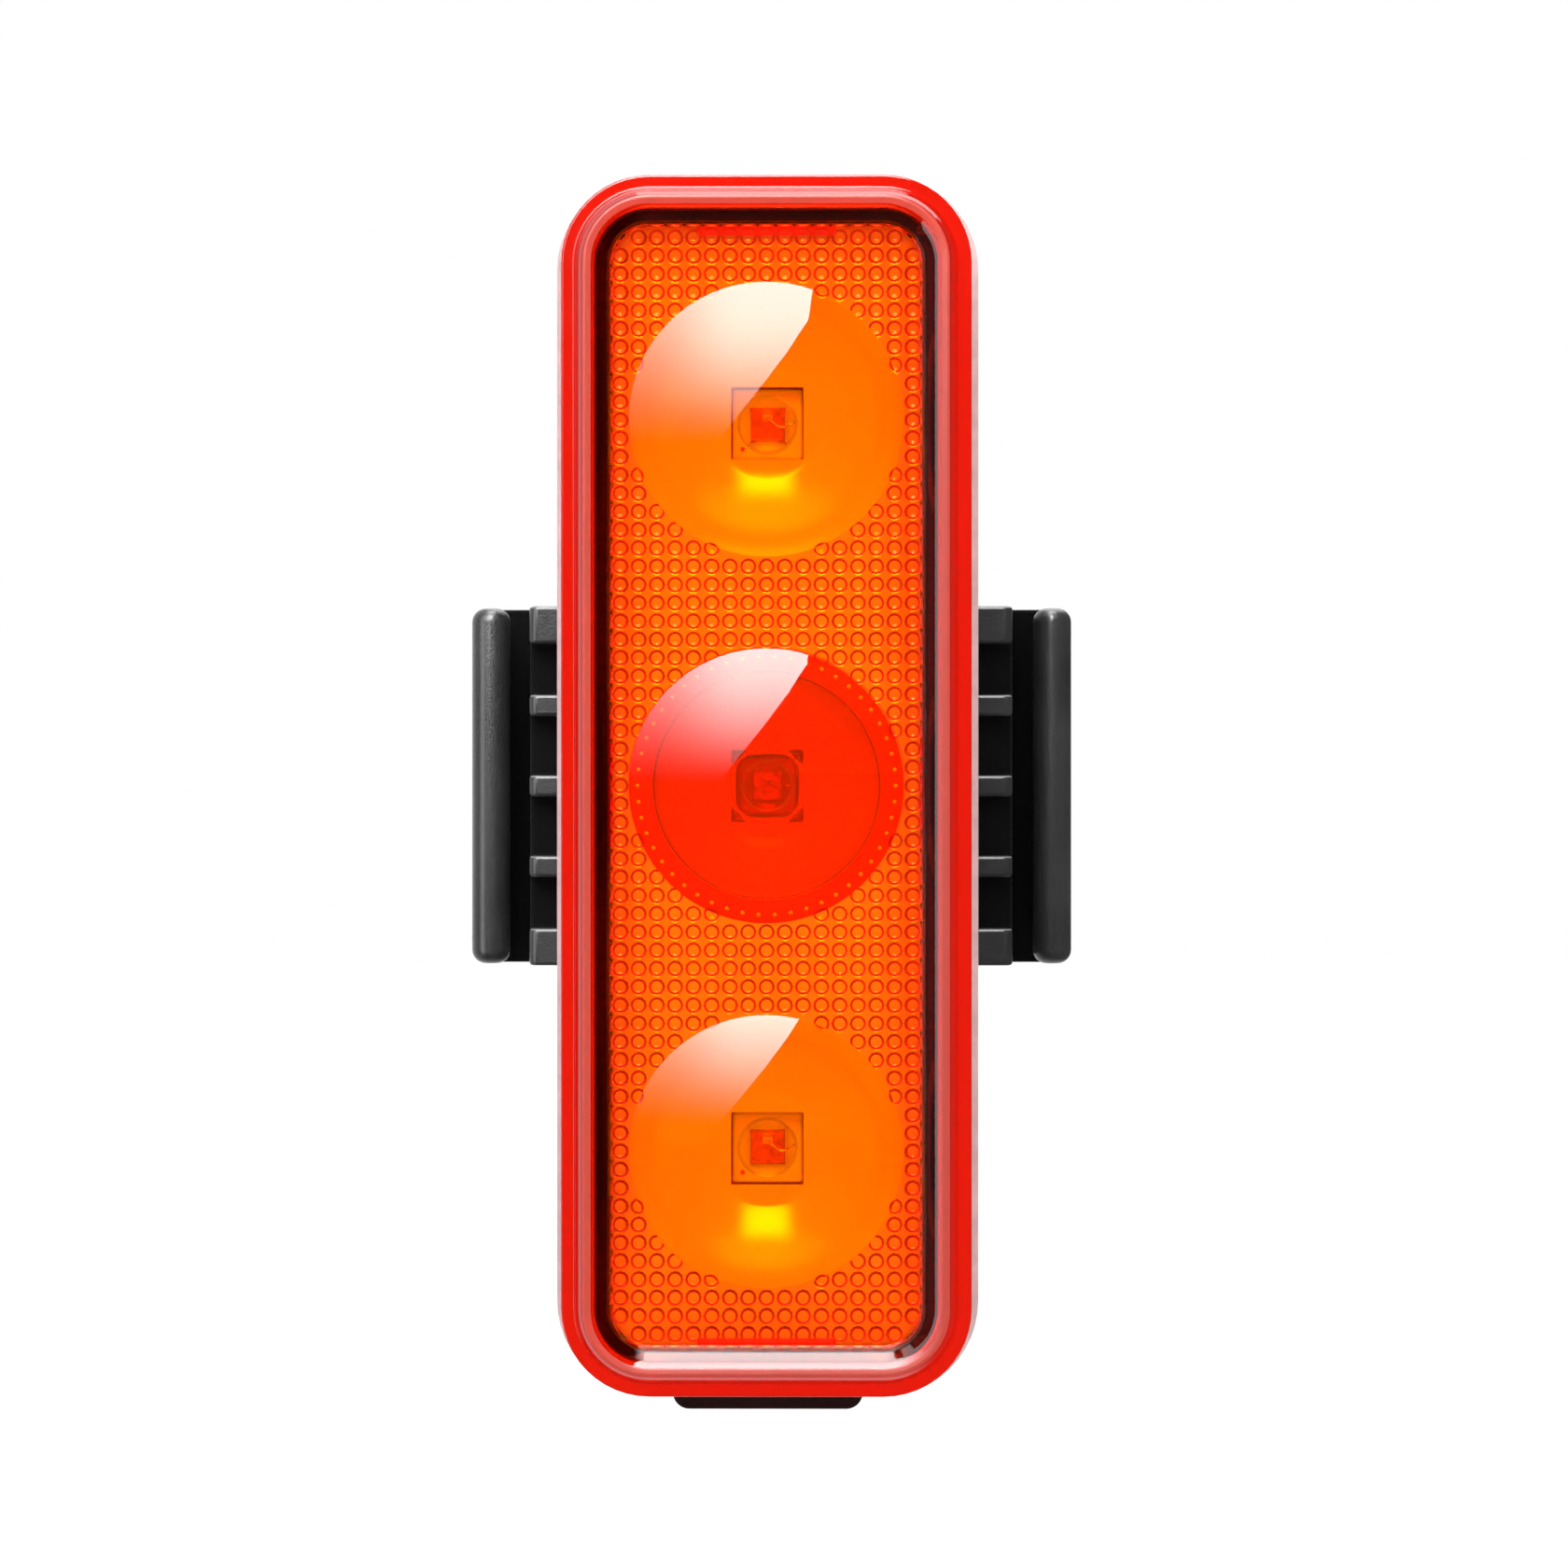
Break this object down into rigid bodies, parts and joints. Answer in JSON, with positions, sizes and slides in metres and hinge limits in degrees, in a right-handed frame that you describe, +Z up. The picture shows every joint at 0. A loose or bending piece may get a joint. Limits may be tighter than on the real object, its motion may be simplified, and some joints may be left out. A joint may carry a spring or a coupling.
{
  "type": "bicycle tail light",
  "caption": "Rechargeable bicycle tail light: tall red lens over lamps in cups, black case, slide-on seatpost bracket with strap hooks, release latch, button and port flap.",
  "frame": {"origin": "on the seatpost's axis, half way up the bracket's rubber pad", "axes": "+Z up along the seatpost, -Y towards the following rider (the lens faces -Y), +X to the right seen from the lens side"},
  "size_m": [0.0376, 0.0389, 0.0738],
  "materials": {
    "red_lens": "clear red polycarbonate, polished, with a pimpled inner face",
    "case_black": "fine grain moulded nylon",
    "bracket_black": "grained semi-gloss glass-filled nylon",
    "latch_black": "satin acetal",
    "black_rubber": "matte silicone",
    "reflector_bright": "bright satin, silver-white moulded cups",
    "red_optic": "clear red optical acrylic",
    "clear_plastic": "clear optical acrylic",
    "lamp_board": "white solder mask on aluminium",
    "lamp_ceramic": "white ceramic",
    "lamp_die": "red emitter under silicone",
    "board_green": "green solder mask",
    "component_black": "moulded epoxy",
    "ferrite": "grey ferrite",
    "steel": "plated steel",
    "foil_cell": "laminated aluminium pouch",
    "foam": "closed-cell foam"
  },
  "bodies": {
    "bracket": {"bracket_body": "bracket_black", "bracket_pad": "black_rubber", "latch_pin": "steel", "latch_spring": "steel"},
    "latch": {"latch_lever": "latch_black"},
    "light": {"back_cover": "case_black", "back_gasket": "black_rubber", "rear_housing": "case_black", "housing_screws": "steel", "lens_cover": "red_lens", "reflector": "reflector_bright", "collimator_lens": "red_optic", "led_board": "lamp_board", "led_packages": "lamp_ceramic", "led_dies": "lamp_die", "led_domes": "clear_plastic", "board_screws": "steel", "main_board": "board_green", "board_header": "component_black", "board_chips": "component_black", "inductor": "ferrite", "status_led": "lamp_ceramic", "status_light_pipe": "clear_plastic", "usb_connector": "steel", "usb_tongue": "component_black", "tactile_switch": "component_black", "battery_cell": "foil_cell", "battery_pad": "foam", "battery_tabs": "steel", "usb_cover_anchor": "black_rubber"},
    "button": {"power_button": "black_rubber", "switch_plunger": "component_black"},
    "port_flap": {"usb_cover": "black_rubber"}
  },
  "joints": [
    {"name": "light_slide", "type": "slide", "parent": "bracket", "child": "light", "axis": [0, 0, 1], "range_m": [0, 0.0155], "deforming": ["latch_lever"]},
    {"name": "latch_press", "type": "hinge", "parent": "bracket", "child": "latch", "pos_m": [0, -0.0179, 0.006], "axis": [-1, 0, 0], "range_deg": [0, 14], "stiffness_Nm_per_rad": 0.02, "springref_deg": -5.73, "deforming": ["latch_spring"]},
    {"name": "button_press", "type": "slide", "parent": "light", "child": "button", "axis": [0, 0, -1], "range_m": [0, 0.0005], "stiffness_N_per_m": 400, "springref_m": -0.0002},
    {"name": "port_flap_hinge", "type": "hinge", "parent": "light", "child": "port_flap", "pos_m": [0, -0.02785, -0.03612], "axis": [1, 0, 0], "range_deg": [0, 110], "stiffness_Nm_per_rad": 0.0004}
  ]
}
